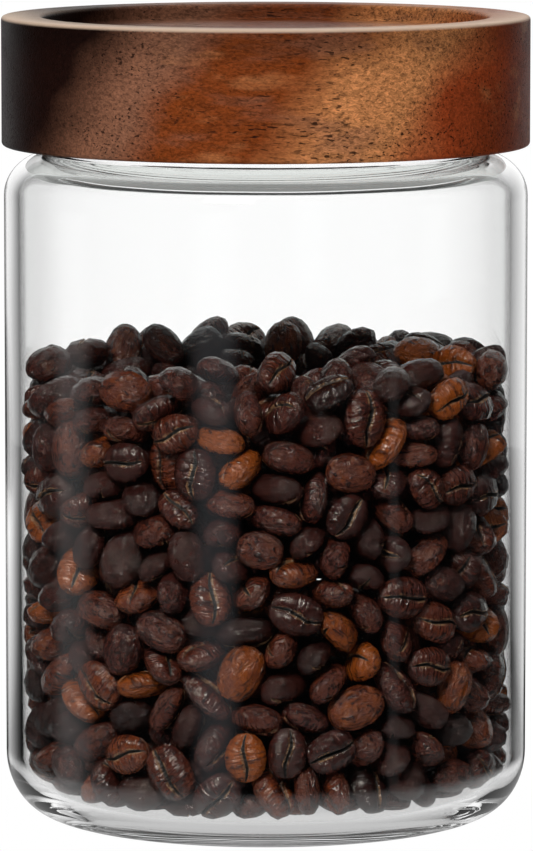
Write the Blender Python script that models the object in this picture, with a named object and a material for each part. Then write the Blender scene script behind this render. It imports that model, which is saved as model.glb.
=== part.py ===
"""Food canister: a glass jar with a screw neck, a turned wooden screw lid and the silicone seal between them.

Metres, +Z up. The origin is the middle of the jar's foot, on the surface that it stands on.
The lid is screwed down as far as it goes. Its thread is right-handed, so it rises as it turns about +Z.
"""

import math

import bmesh
import bpy
from mathutils import Matrix

# --- Glass jar ---
BODY_DIAMETER = 0.0992
SHOULDER_HEIGHT = 0.1265  # from the foot to the top of the shoulder
GLASS_WALL = 0.00285
BASE_THICKNESS = 0.0040
PUSH_UP_HEIGHT = 0.0012  # the hollow under the base, inside the ring that it stands on
PUSH_UP_SLOPE = 0.0020
FOOT_WIDTH = 0.0042  # the flat ring that it stands on
HEEL_REACH = 0.0098  # the rounded corner from foot to side, across and up
HEEL_RISE = 0.0120
SHOULDER_REACH = 0.0099  # the rounded corner from side to neck, across and down
SHOULDER_DROP = 0.0084
NECK_INSET = 0.0076  # from the jar's side in to the neck
NECK_HEIGHT = 0.0147  # from the top of the shoulder to the rim
NECK_FILLET = 0.0008

# --- Thread, one start ---
THREAD_LEAD = 0.0060
THREAD_DEPTH = 0.0013
THREAD_ROOT_WIDTH = 0.0034
THREAD_CREST_WIDTH = 0.0012
THREAD_ABOVE_SHOULDER = 0.0026  # from the shoulder to the middle of the lowest turn
THREAD_BELOW_RIM = 0.0036  # from the middle of the highest turn to the rim
THREAD_FADE = math.radians(28)  # over which each end sinks into the neck
GROOVE_OVERRUN = math.radians(20)  # how far the lid's groove runs on past the glass thread

# --- Silicone seal ---
SEAL_THICKNESS = 0.0022
SEAL_LIP_DEPTH = 0.0020  # the lip that hangs inside the mouth
SEAL_LIP_WIDTH = 0.0012
SEAL_EDGE_ROUND = 0.0005

# --- Wooden lid ---
LID_OVERHANG = 0.0004  # how far the lid stands out past the jar's side
LID_ABOVE_SHOULDER = 0.0011
LID_WEB = 0.0049  # wood between the seal and the floor of the recess
RECESS_DEPTH = 0.0031  # the foot of another jar stands in it
RECESS_RIM = 0.0078
LID_EDGE_ROUND = 0.0007
RECESS_EDGE_ROUND = 0.0009
RECESS_FLOOR_ROUND = 0.0006
MOUTH_CHAMFER = 0.0009
BOSS_DROP = 0.0030  # the disc that the seal is pushed onto
BOSS_CHAMFER = 0.0006

# --- Clearances ---
TOUCH_GAP = 0.0003  # between pieces that meet
THREAD_GAP = 0.0006  # round the glass thread, in the lid's groove
NECK_GAP = 0.0006  # between the neck and the lid's bore
LIP_GAP = 0.0005  # between the seal's lip and the glass

# --- Facets ---
SHARP_EDGE = math.radians(35)  # edges that turn by more than this are shaded sharp
SIDES = 64  # round each turned piece
TURN_STEPS = 56  # round one turn of the thread
EMBED = 0.0008  # how far the thread's root is sunk into the neck, and the groove's cutter into the bore
SUNK = 0.0004  # how far under the neck's surface the thread's ends finish

# --- Levels and radii that follow ---
BODY_RADIUS = BODY_DIAMETER / 2
NECK_RADIUS = BODY_RADIUS - NECK_INSET
NECK_INSIDE = NECK_RADIUS - GLASS_WALL
RIM_Z = SHOULDER_HEIGHT + NECK_HEIGHT
SEAL_Z = RIM_Z + TOUCH_GAP
CEILING_Z = SEAL_Z + SEAL_THICKNESS + TOUCH_GAP
RECESS_Z = CEILING_Z + LID_WEB
LID_TOP_Z = RECESS_Z + RECESS_DEPTH
LID_BOTTOM_Z = SHOULDER_HEIGHT + LID_ABOVE_SHOULDER
LID_RADIUS = BODY_RADIUS + LID_OVERHANG
RECESS_RADIUS = LID_RADIUS - RECESS_RIM
BORE_RADIUS = NECK_RADIUS + NECK_GAP
GROOVE_RADIUS = NECK_RADIUS + THREAD_DEPTH + THREAD_GAP
LIP_OUTSIDE = NECK_INSIDE - LIP_GAP
LIP_INSIDE = LIP_OUTSIDE - SEAL_LIP_WIDTH
BOSS_RADIUS = LIP_INSIDE - TOUCH_GAP
THREAD_LOW_Z = SHOULDER_HEIGHT + THREAD_ABOVE_SHOULDER
THREAD_HIGH_Z = RIM_Z - THREAD_BELOW_RIM


def clear_scene():
    for thing in list(bpy.data.objects):
        bpy.data.objects.remove(thing, do_unlink=True)


def material(name, colour, roughness, metallic=0.0, transmission=0.0):
    made = bpy.data.materials.new(name)
    made.use_nodes = True
    shader = made.node_tree.nodes["Principled BSDF"]
    shader.inputs["Base Color"].default_value = (*colour, 1.0)
    shader.inputs["Roughness"].default_value = roughness
    shader.inputs["Metallic"].default_value = metallic
    shader.inputs["Transmission Weight"].default_value = transmission
    return made


def arc(centre, reach, rise, start, end, steps):
    """Points (radius, height) on an elliptical arc between two angles in degrees, 0 being straight out."""
    points = []
    for i in range(steps + 1):
        angle = math.radians(start + (end - start) * i / steps)
        points.append((centre[0] + reach * math.cos(angle), centre[1] + rise * math.sin(angle)))
    return points


def finished(name, shape, made_of, base_z):
    """An object of this shape, with its origin on the screw axis at base_z, smooth apart from its real edges."""
    mesh = bpy.data.meshes.new(name)
    shape.to_mesh(mesh)
    shape.free()
    mesh.transform(Matrix.Translation((0.0, 0.0, -base_z)))
    mesh.shade_smooth()
    mesh.set_sharp_from_angle(angle=SHARP_EDGE)
    mesh.materials.append(made_of)
    piece = bpy.data.objects.new(name, mesh)
    piece.location.z = base_z
    bpy.context.scene.collection.objects.link(piece)
    return piece


def turned(name, outline, made_of, base_z, ring_section=False):
    """A solid turned about Z from an outline of (radius, height) points.

    The outline starts on the axis underneath, runs out, up the outer side and back to the axis. A ring's
    section closes on itself instead, in the same direction, and doesn't touch the axis.
    """
    shape = bmesh.new()
    rings = []
    for radius, height in outline:
        if radius == 0.0:
            rings.append([shape.verts.new((0.0, 0.0, height))])
            continue
        angles = [2 * math.pi * i / SIDES for i in range(SIDES)]
        rings.append([shape.verts.new((radius * math.cos(a), radius * math.sin(a), height)) for a in angles])
    following = rings[1:] + (rings[:1] if ring_section else [])
    for near, far in zip(rings, following):
        for i in range(SIDES):
            j = (i + 1) % SIDES
            if len(near) == 1:
                shape.faces.new((near[0], far[j], far[i]))
            elif len(far) == 1:
                shape.faces.new((near[i], near[j], far[0]))
            else:
                shape.faces.new((near[i], near[j], far[j], far[i]))
    return finished(name, shape, made_of, base_z)


def helical_bar(name, low_z, high_z, section, made_of, base_z):
    """A bar that winds up round Z at the thread's lead, as part of one helix that is fixed in space.

    section(share) gives its four (radius, height) corners, in order round the bar, at that share of its
    length. The heights are counted from the helix.
    """
    turns = (high_z - low_z) / THREAD_LEAD
    steps = math.ceil(TURN_STEPS * turns)
    shape = bmesh.new()
    sections = []
    for i in range(steps + 1):
        centre_z = low_z + (high_z - low_z) * i / steps
        angle = 2 * math.pi * centre_z / THREAD_LEAD
        corners = []
        for radius, height in section(i / steps):
            corners.append(shape.verts.new((radius * math.cos(angle), radius * math.sin(angle), centre_z + height)))
        sections.append(corners)
    shape.faces.new(sections[0])
    shape.faces.new(sections[-1][::-1])
    for near, far in zip(sections, sections[1:]):
        for i in range(4):
            j = (i + 1) % 4
            shape.faces.new((near[i], far[i], far[j], near[j]))
    bmesh.ops.recalc_face_normals(shape, faces=shape.faces)
    return finished(name, shape, made_of, base_z)


def combine(piece, tool, operation):
    """Adds a tool to a piece, or cuts with it. The tool stays as a hidden guide that moves with the piece."""
    tool.hide_render = True
    tool.display_type = "WIRE"
    tool.parent = piece
    tool.location.z = 0.0  # the two share one origin
    change = piece.modifiers.new(tool.name, "BOOLEAN")
    change.operation = operation
    change.solver = "EXACT"
    change.object = tool


def corner_to_neck(centre, reach, drop, neck_radius, steps):
    """The shoulder's curve, from the side up and in, and the fillet that turns it up into the neck."""
    share = max(0.0, (neck_radius + NECK_FILLET - centre[0]) / reach)
    leave = math.degrees(math.acos(share))
    curve = arc(centre, reach, drop, 0, leave, steps)
    fillet_z = curve[-1][1]
    corner = NECK_FILLET * (1.0 - math.sqrt(0.5))  # where the round fillet crosses its diagonal
    return curve + [(neck_radius + corner, fillet_z + corner), (neck_radius, fillet_z + NECK_FILLET)]


def jar_outline():
    """The glass: under the base, up the outside, over the rim, down the inside and across the floor."""
    heel = (BODY_RADIUS - HEEL_REACH, HEEL_RISE)
    shoulder = (BODY_RADIUS - SHOULDER_REACH, SHOULDER_HEIGHT - SHOULDER_DROP)
    ring_inside = heel[0] - FOOT_WIDTH
    rim_round = GLASS_WALL / 2
    inner_shoulder = corner_to_neck(
        shoulder, SHOULDER_REACH - GLASS_WALL, SHOULDER_DROP - GLASS_WALL, NECK_INSIDE, 5
    )
    return [
        (0.0, PUSH_UP_HEIGHT),
        (ring_inside - PUSH_UP_SLOPE, PUSH_UP_HEIGHT),
        (ring_inside, 0.0),
        *arc(heel, HEEL_REACH, HEEL_RISE, -90, 0, 7),
        *corner_to_neck(shoulder, SHOULDER_REACH, SHOULDER_DROP, NECK_RADIUS, 6),
        *arc((NECK_RADIUS - rim_round, RIM_Z - rim_round), rim_round, rim_round, 0, 180, 6),
        *reversed(inner_shoulder),
        *arc(heel, HEEL_REACH - GLASS_WALL, HEEL_RISE - BASE_THICKNESS, 0, -90, 6),
        (0.0, BASE_THICKNESS),
    ]


def thread_section(share):
    """The raised glass thread, which rises out of the neck at one end and sinks back at the other."""
    whole = 2 * math.pi * (THREAD_HIGH_Z - THREAD_LOW_Z) / THREAD_LEAD
    raised = min(1.0, share * whole / THREAD_FADE, (1.0 - share) * whole / THREAD_FADE)
    root = NECK_RADIUS - EMBED
    crest = NECK_RADIUS - SUNK + (THREAD_DEPTH + SUNK) * raised
    return (
        (root, -THREAD_ROOT_WIDTH / 2),
        (crest, -THREAD_CREST_WIDTH / 2),
        (crest, THREAD_CREST_WIDTH / 2),
        (root, THREAD_ROOT_WIDTH / 2),
    )


def groove_section(share):
    """The groove in the lid: the glass thread's own shape with the running gap all round it."""
    flank = (THREAD_ROOT_WIDTH - THREAD_CREST_WIDTH) / 2 / (THREAD_DEPTH + EMBED)
    inner = BORE_RADIUS - EMBED
    corners = []
    for radius, side in ((inner, -1), (GROOVE_RADIUS, -1), (GROOVE_RADIUS, 1), (inner, 1)):
        half = THREAD_CREST_WIDTH / 2 + (NECK_RADIUS + THREAD_DEPTH - radius) * flank + THREAD_GAP
        corners.append((radius, side * half))
    return corners


def make_jar(glass):
    jar = turned("glass_jar", jar_outline(), glass, 0.0)
    thread = helical_bar("jar_thread", THREAD_LOW_Z, THREAD_HIGH_Z, thread_section, glass, 0.0)
    combine(jar, thread, "UNION")
    return jar


def make_seal(silicone):
    """A flat ring over the rim, with a lip that hangs inside the mouth."""
    outside = BORE_RADIUS - TOUCH_GAP
    top = SEAL_Z + SEAL_THICKNESS
    lip_z = SEAL_Z - SEAL_LIP_DEPTH
    soft = SEAL_EDGE_ROUND
    outline = [
        (LIP_INSIDE, lip_z + soft),
        (LIP_INSIDE + soft, lip_z),
        (LIP_OUTSIDE - soft, lip_z),
        (LIP_OUTSIDE, lip_z + soft),
        (LIP_OUTSIDE, SEAL_Z),
        *arc((outside - soft, SEAL_Z + soft), soft, soft, -90, 0, 2),
        *arc((outside - soft, top - soft), soft, soft, 0, 90, 2),
        (LIP_INSIDE + soft, top),
        (LIP_INSIDE, top - soft),
    ]
    return turned("silicone_seal", outline, silicone, SEAL_Z, ring_section=True)


def make_lid(wood):
    edge = LID_EDGE_ROUND
    inner_edge = RECESS_EDGE_ROUND
    outline = [
        (0.0, CEILING_Z - BOSS_DROP),
        (BOSS_RADIUS - BOSS_CHAMFER, CEILING_Z - BOSS_DROP),
        (BOSS_RADIUS, CEILING_Z - BOSS_DROP + BOSS_CHAMFER),
        (BOSS_RADIUS, CEILING_Z),
        (BORE_RADIUS, CEILING_Z),
        (BORE_RADIUS, LID_BOTTOM_Z + MOUTH_CHAMFER),
        (BORE_RADIUS + MOUTH_CHAMFER, LID_BOTTOM_Z),
        *arc((LID_RADIUS - edge, LID_BOTTOM_Z + edge), edge, edge, -90, 0, 3),
        *arc((LID_RADIUS - edge, LID_TOP_Z - edge), edge, edge, 0, 90, 3),
        *arc((RECESS_RADIUS + inner_edge, LID_TOP_Z - inner_edge), inner_edge, inner_edge, 90, 180, 3),
        (RECESS_RADIUS, RECESS_Z + RECESS_FLOOR_ROUND),
        (RECESS_RADIUS - RECESS_FLOOR_ROUND, RECESS_Z),
        (0.0, RECESS_Z),
    ]
    lid = turned("wooden_lid", outline, wood, LID_BOTTOM_Z)
    overrun = THREAD_LEAD * GROOVE_OVERRUN / (2 * math.pi)
    low_z = LID_BOTTOM_Z - THREAD_LEAD  # a turn below the lid, so that the groove runs out at its mouth
    groove = helical_bar("lid_groove", low_z, THREAD_HIGH_Z + overrun, groove_section, wood, LID_BOTTOM_Z)
    combine(lid, groove, "DIFFERENCE")
    return lid


def main():
    clear_scene()
    make_jar(material("clear_glass", (0.93, 0.96, 0.95), 0.03, transmission=1.0))
    screw = bpy.data.objects.new("lid_screw", None)  # raise it by the lead for each turn
    bpy.context.scene.collection.objects.link(screw)
    seal = make_seal(material("silicone", (0.86, 0.87, 0.85), 0.45))
    lid = make_lid(material("acacia", (0.24, 0.09, 0.035), 0.42))
    for piece in (seal, lid):
        piece.parent = screw


main()
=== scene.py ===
"""Looks of a food canister: glass jar, turned wooden lid, silicone seal, and the coffee beans kept in it."""

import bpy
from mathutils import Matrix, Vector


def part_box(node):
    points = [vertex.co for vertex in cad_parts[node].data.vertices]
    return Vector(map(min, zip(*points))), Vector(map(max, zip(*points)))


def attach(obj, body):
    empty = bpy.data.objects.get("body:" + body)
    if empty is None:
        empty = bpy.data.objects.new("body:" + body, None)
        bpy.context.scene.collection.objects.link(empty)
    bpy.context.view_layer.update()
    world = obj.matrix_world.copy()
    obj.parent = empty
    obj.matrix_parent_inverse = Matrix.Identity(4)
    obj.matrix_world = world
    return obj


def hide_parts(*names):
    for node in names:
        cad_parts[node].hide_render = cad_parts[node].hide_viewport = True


bl_info = {
    "name": "Food Canister",
    "version": (1, 0),
    "blender": (4, 5, 0),
    "location": "3D View > Sidebar > Canister",
    "description": "Builds a glass food canister with a wooden screw lid, filled with coffee beans",
    "category": "Add Mesh",
}

import math

import bpy
import numpy as np
from bpy.props import FloatProperty, FloatVectorProperty, IntProperty, PointerProperty
from mathutils import Matrix, Vector

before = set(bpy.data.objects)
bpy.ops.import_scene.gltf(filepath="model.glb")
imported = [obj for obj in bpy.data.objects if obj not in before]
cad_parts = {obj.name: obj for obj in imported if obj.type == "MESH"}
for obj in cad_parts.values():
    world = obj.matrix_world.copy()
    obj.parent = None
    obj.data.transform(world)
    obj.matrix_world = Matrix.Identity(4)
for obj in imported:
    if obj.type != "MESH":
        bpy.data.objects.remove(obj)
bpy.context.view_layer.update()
JAR_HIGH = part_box("glass_jar")[1]
LID_LOW, LID_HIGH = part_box("wooden_lid")
SEAL_LOW, SEAL_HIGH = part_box("silicone_seal")

SIDES = 256  # round each turned piece
SHARP = math.radians(40)  # edges that turn by more than this stay sharp
SUPPORT = 0.0006  # from a curve's end to the ring that keeps the straight run beside it straight
ROW = 0.00028  # between the rings that a thread or a groove is shaped from
NEAR_NECK = 0.0012  # rings within this of the neck or bore may carry the thread


def length(name, description, default):
    return FloatProperty(name=name, description=description, default=default, precision=5, unit="LENGTH")


def colour(name, description, default):
    return FloatVectorProperty(
        name=name, description=description, default=default, size=3, min=0.0, max=1.0, subtype="COLOR"
    )


class JarSizes(bpy.types.PropertyGroup):
    """The glass jar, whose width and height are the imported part's"""

    wall: length("Wall", "Thickness of the side and neck", 0.00285)
    base: length("Base", "Thickness above the ring that the jar stands on", 0.0040)
    push_up: length("Push-up", "Depth of the hollow under the base", 0.0012)
    push_up_slope: length("Push-up slope", "How far the hollow's edge slopes", 0.0020)
    foot: length("Foot", "Width of the flat ring that the jar stands on", 0.0042)
    heel_reach: length("Heel reach", "How far the rounded heel comes in", 0.0098)
    heel_rise: length("Heel rise", "How far the rounded heel goes up", 0.0120)
    shoulder_reach: length("Shoulder reach", "How far the rounded shoulder comes in", 0.0099)
    shoulder_drop: length("Shoulder drop", "How far the rounded shoulder goes down", 0.0084)
    neck_inset: length("Neck inset", "From the side in to the neck", 0.0076)
    neck_height: length("Neck height", "From the shoulder up to the rim", 0.0147)
    neck_fillet: length("Neck fillet", "Radius at the root of the neck", 0.0008)
    tint: colour("Tint", "Colour of the glass", (0.995, 0.996, 0.995))


class ThreadSizes(bpy.types.PropertyGroup):
    """The screw thread that the jar and the lid share"""

    lead: length("Lead", "Rise in one turn", 0.0060)
    depth: length("Depth", "How far it stands out of the neck", 0.0013)
    root: length("Root", "Width at the neck", 0.0034)
    crest: length("Crest", "Width at its top", 0.0012)
    start: length("Start", "From the shoulder up to the lowest turn", 0.0026)
    end: length("End", "From the highest turn up to the rim", 0.0036)
    fade: length("Fade", "Rise over which each end sinks back", 0.0005)
    gap: length("Gap", "Between the thread and the lid's groove", 0.0006)


class LidSizes(bpy.types.PropertyGroup):
    """The wooden lid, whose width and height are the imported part's"""

    rim: length("Rim", "Width of the rim round the recess", 0.0078)
    recess: length("Recess", "Depth of the recess in the top", 0.0031)
    edge: length("Edge", "Radius of the outer edges", 0.0007)
    inner_edge: length("Inner edge", "Radius of the recess's edge", 0.0009)
    floor_round: length("Floor round", "Radius at the bottom of the recess", 0.0006)
    neck_gap: length("Neck gap", "Between the glass neck and the bore", 0.0006)
    mouth: length("Mouth", "Chamfer at the bore's mouth", 0.0009)
    seal_gap: length("Seal gap", "Between the lid and the seal", 0.0003)
    boss_drop: length("Boss drop", "How far the boss hangs below the ceiling", 0.0030)
    boss_edge: length("Boss edge", "Chamfer of the boss", 0.0006)
    dark_wood: colour("Dark wood", "Darkest heartwood", (0.012, 0.004, 0.003))
    # Partly the wood's own purplish tone, partly a painted sheen that stands in for a soft purple-grey
    # reflection
    plum_wood_and_sheen: colour("Plum wood", "Purplish heartwood", (0.205, 0.092, 0.056))
    orange_wood: colour("Orange wood", "Warm middle of the block", (0.165, 0.037, 0.008))
    golden_wood: colour("Golden wood", "Lightest figure", (0.490, 0.205, 0.080))
    red_wood: colour("Red wood", "Reddish heartwood", (0.290, 0.052, 0.014))
    # Colour of the painted highlight on the front of the rim's top
    rim_highlight_colour: colour("Rubbed wood", "Paler rim, where hands rub it", (0.560, 0.430, 0.340))


class SealSizes(bpy.types.PropertyGroup):
    """The silicone seal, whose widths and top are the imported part's"""

    lip_drop: length("Lip drop", "How far the lip hangs below the ring", 0.0020)
    lip: length("Lip", "Width of the lip inside the mouth", 0.0012)
    lip_gap: length("Lip gap", "Between the lip and the glass", 0.0005)
    edge: length("Edge", "Radius of its edges", 0.0004)
    tint: colour("Tint", "Colour of the silicone", (0.82, 0.83, 0.80))


class BeanSizes(bpy.types.PropertyGroup):
    """Roasted coffee beans"""

    long: length("Length", "Length of a middling bean", 0.0099)
    wide: length("Width", "Width of a middling bean", 0.0077)
    thick: length("Thickness", "Thickness of a middling bean", 0.0054)
    count: IntProperty(name="Beans", description="How many are poured in", default=1120, min=10)
    fill: length("Fill", "Height that the beans are levelled off at, by the glass", 0.0862)
    dome: length("Dome", "How much higher they stand in the middle", 0.0035)
    core: length("Core", "Radius of the unseen middle, left without beans", 0.028)
    core_low: length("Core bottom", "Where the unseen middle starts", 0.020)
    core_high: length("Core top", "Where the unseen middle ends", 0.064)
    clear: length("Clearance", "Between the beans and the glass", 0.0003)
    seed: IntProperty(name="Seed", description="Picks how the beans fall", default=7)
    dark: colour("Dark roast", "Darkest beans", (0.012, 0.004, 0.004))
    brown: colour("Brown roast", "Most of the beans", (0.053, 0.012, 0.009))
    warm: colour("Warm roast", "Redder beans", (0.120, 0.026, 0.011))
    light: colour("Light roast", "The few palest beans", (0.290, 0.066, 0.008))
    chaff: colour("Chaff", "Silverskin left beside the crease", (0.30, 0.17, 0.09))


class StudioSizes(bpy.types.PropertyGroup):
    """Camera, floor and lights"""

    distance: length("Distance", "From the jar's axis to the camera", 1.19275)
    height: length("Height", "Of the camera above the floor", 0.21661)
    aside: length("Aside", "How far the camera stands to the right", 0.000134)
    pitch: FloatProperty(
        name="Pitch",
        description="How far the camera looks down",
        default=math.radians(6.8213),
        subtype="ANGLE",
    )
    lens: FloatProperty(name="Lens", description="Focal length in mm, on a 36 mm long side", default=266.91)
    floor: length("Floor", "Radius of the pale floor", 0.60)


# --- Turned shapes ---


def set_down(name, data):
    """A new object in the scene that holds this data."""
    made = bpy.data.objects.new(name, data)
    bpy.context.scene.collection.objects.link(made)
    return made


def arc(centre, reach, rise, start, end, steps):
    """Points (radius, height) on an elliptical arc between two angles in degrees, 0 being straight out."""
    angles = np.radians(np.linspace(start, end, steps + 1))
    return [(centre[0] + reach * math.cos(a), centre[1] + rise * math.sin(a)) for a in angles]


def upright(radius, low, high, row=None):
    """Points up or down a straight wall, short of its ends by the support distance, and maybe a row apart."""
    step = math.copysign(SUPPORT, high - low)
    first, last = low + step, high - step
    count = 1 if row is None else max(1, round(abs(last - first) / row))
    return [(radius, first + (last - first) * i / count) for i in range(count + 1)]


def turned(name, outline, ring_section=False):
    """A smooth solid turned about Z from an outline of (radius, height) points.

    The outline starts on the axis underneath, runs out, up the outer side and back to the axis. A ring's
    section closes on itself instead, in the same direction.
    """
    angles = np.arange(SIDES) * 2 * math.pi / SIDES
    points, rings, faces = [], [], []
    for radius, height in outline:
        here = angles if radius else angles[:1]
        rings.append(range(len(points), len(points) + len(here)))
        points += [(radius * math.cos(a), radius * math.sin(a), height) for a in here]
    for near, far in zip(rings, rings[1:] + (rings[:1] if ring_section else [])):
        for i in range(SIDES):
            j = (i + 1) % SIDES
            if len(near) == 1:
                faces.append((near[0], far[j], far[i]))
            elif len(far) == 1:
                faces.append((near[i], near[j], far[0]))
            else:
                faces.append((near[i], near[j], far[j], far[i]))
    mesh = bpy.data.meshes.new(name)
    mesh.from_pydata(points, [], faces)
    mesh.shade_smooth()
    mesh.set_sharp_from_angle(angle=SHARP)
    return set_down(name, mesh)


def corner_to_neck(centre, reach, drop, neck_radius, fillet, steps):
    """The shoulder's curve, from the side up and in, and the fillet that turns it up into the neck."""
    leave = math.degrees(math.acos(max(0.0, (neck_radius + fillet - centre[0]) / reach)))
    curve = arc(centre, reach, drop, 0, leave, steps)
    middle = (neck_radius + fillet, curve[-1][1] + fillet)
    return curve + arc(middle, fillet, fillet, 255, 180, 4)


# --- Nodes ---


def put(tree, kind, **settings):
    node = tree.nodes.new(kind)
    for key, value in settings.items():
        setattr(node, key, value)
    return node


def join(tree, socket, value):
    """Links a socket to another, or sets it."""
    if isinstance(value, bpy.types.NodeSocket):
        tree.links.new(value, socket)
    elif value is not None:
        socket.default_value = (*value, 1.0) if socket.type == "RGBA" and len(value) == 3 else value


def feed(tree, node, *values, **named):
    """Links or sets a node's inputs, in order, or by name with underscores for spaces.

    Returns the node's first output.
    """
    for socket, value in zip(node.inputs, values):
        join(tree, socket, value)
    for key, value in named.items():
        join(tree, node.inputs[key.replace("_", " ")], value)
    return node.outputs[0] if node.outputs else None


def maths(tree, operation, *values, clamp=False):
    return feed(tree, put(tree, "ShaderNodeMath", operation=operation, use_clamp=clamp), *values)


def times(tree, *values):
    """The product of two values or more."""
    product = maths(tree, "MULTIPLY", *values[:2])
    for value in values[2:]:
        product = maths(tree, "MULTIPLY", product, value)
    return product


def plus(tree, a, b, clamp=False):
    return maths(tree, "ADD", a, b, clamp=clamp)


def minus(tree, a, b, clamp=False):
    return maths(tree, "SUBTRACT", a, b, clamp=clamp)


def most(tree, a, b):
    return maths(tree, "MAXIMUM", a, b)


def split(tree, vector):
    """A vector's three parts."""
    parts = put(tree, "ShaderNodeSeparateXYZ")
    feed(tree, parts, vector)
    return parts.outputs


def from_middle(tree, vector):
    """A vector's length."""
    node = put(tree, "ShaderNodeVectorMath", operation="LENGTH")
    feed(tree, node, vector)
    return node.outputs["Value"]


def vectors(tree, operation, *values):
    return feed(tree, put(tree, "ShaderNodeVectorMath", operation=operation), *values)


def mixed(tree, share, a, b, mode="MIX"):
    node = put(tree, "ShaderNodeMix", data_type="RGBA", blend_type=mode)
    for index, value in zip((0, 6, 7), (share, a, b)):
        join(tree, node.inputs[index], value)
    return node.outputs[2]


def mixed_value(tree, share, a, b):
    node = put(tree, "ShaderNodeMix", data_type="FLOAT")
    for index, value in zip((0, 2, 3), (share, a, b)):
        join(tree, node.inputs[index], value)
    return node.outputs[0]


def between(tree, value, low, high, to_low=0.0, to_high=1.0, kind="SMOOTHSTEP"):
    """A value that goes from one level to the other as the first goes from low to high."""
    return feed(
        tree, put(tree, "ShaderNodeMapRange", interpolation_type=kind), value, low, high, to_low, to_high
    )


def noise(tree, vector, scale, detail=3.0, roughness=0.5, distortion=0.0):
    node = put(tree, "ShaderNodeTexNoise")
    return feed(tree, node, vector, None, scale, detail, roughness, Distortion=distortion)


def placed(tree, vector, scale=(1.0, 1.0, 1.0), rotation=(0.0, 0.0, 0.0), location=(0.0, 0.0, 0.0)):
    return feed(tree, put(tree, "ShaderNodeMapping"), vector, location, rotation, scale)


def ramp(tree, value, *stops):
    node = put(tree, "ShaderNodeValToRGB")
    while len(node.color_ramp.elements) < len(stops):
        node.color_ramp.elements.new(0.5)
    for element, (place, shade) in zip(node.color_ramp.elements, stops):
        element.position = place
        element.color = (*shade, 1.0)
    return feed(tree, node, value)


def bumped(tree, height, strength, distance):
    return feed(tree, put(tree, "ShaderNodeBump"), Strength=strength, Distance=distance, Height=height)


def merged(tree, share, plain, other):
    """A shader that turns into another by this share."""
    return feed(tree, put(tree, "ShaderNodeMixShader"), share, plain, other)


def show(tree, shader):
    """Makes a shader what the material shows."""
    feed(tree, tree.nodes["Material Output"], shader)


def group(name, kind, inputs, outputs):
    """A new node group with these sockets, given as name: (type, default), and its two ends."""
    tree = bpy.data.node_groups.new(name, kind)
    for label, (sort, default) in inputs.items():
        socket = tree.interface.new_socket(label, in_out="INPUT", socket_type="NodeSocket" + sort)
        if default is not None:
            socket.default_value = default
    for label, sort in outputs.items():
        tree.interface.new_socket(label, in_out="OUTPUT", socket_type="NodeSocket" + sort)
    return tree, put(tree, "NodeGroupInput"), put(tree, "NodeGroupOutput")


def new_material(name):
    made = bpy.data.materials.new(name)
    made.use_nodes = True
    return made, made.node_tree, made.node_tree.nodes["Principled BSDF"]


def own_place(tree):
    return put(tree, "ShaderNodeTexCoord").outputs["Object"]


def in_mm(tree, vector):
    return placed(tree, vector, scale=(1000.0, 1000.0, 1000.0))


def handling_group():
    """Soft uneven gloss, and a very shallow relief to go with it, as handling and washing leave."""
    made = bpy.data.node_groups.get("Handling")
    if made:
        return made
    tree, given, result = group(
        "Handling",
        "ShaderNodeTree",
        {
            "Place": ("Vector", None),
            "Size": ("Float", 12.0),
            "Gloss": ("Float", 0.4),
            "Spread": ("Float", 0.1),
        },
        {"Roughness": "Float", "Relief": "Float"},
    )
    place, size, gloss, spread = (given.outputs[i] for i in range(4))
    scaled = vectors(tree, "DIVIDE", in_mm(tree, place), size)
    patches = noise(tree, scaled, 1.0, 3.0, 0.6)
    specks = noise(tree, scaled, 9.0, 2.0, 0.6)
    swing = times(tree, minus(tree, patches, 0.5), spread)
    grit = times(tree, minus(tree, specks, 0.5), spread, 0.5)
    join(tree, result.inputs[0], plus(tree, plus(tree, swing, grit), gloss, clamp=True))
    join(tree, result.inputs[1], plus(tree, times(tree, specks, 0.4), patches))
    return tree


def handled(tree, size, gloss, spread):
    node = put(tree, "ShaderNodeGroup", node_tree=handling_group())
    feed(tree, node, own_place(tree), size, gloss, spread)
    return node.outputs[0], node.outputs[1]


# --- Screw thread ---


def finished(tree, shape, given, result):
    """Ends a Geometry Nodes tree in one real mesh, with its material on it."""
    whole = feed(tree, put(tree, "GeometryNodeRealizeInstances"), shape)
    painted = put(tree, "GeometryNodeSetMaterial")
    join(tree, result.inputs[0], feed(tree, painted, whole, Material=given.outputs["Material"]))
    return tree


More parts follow.
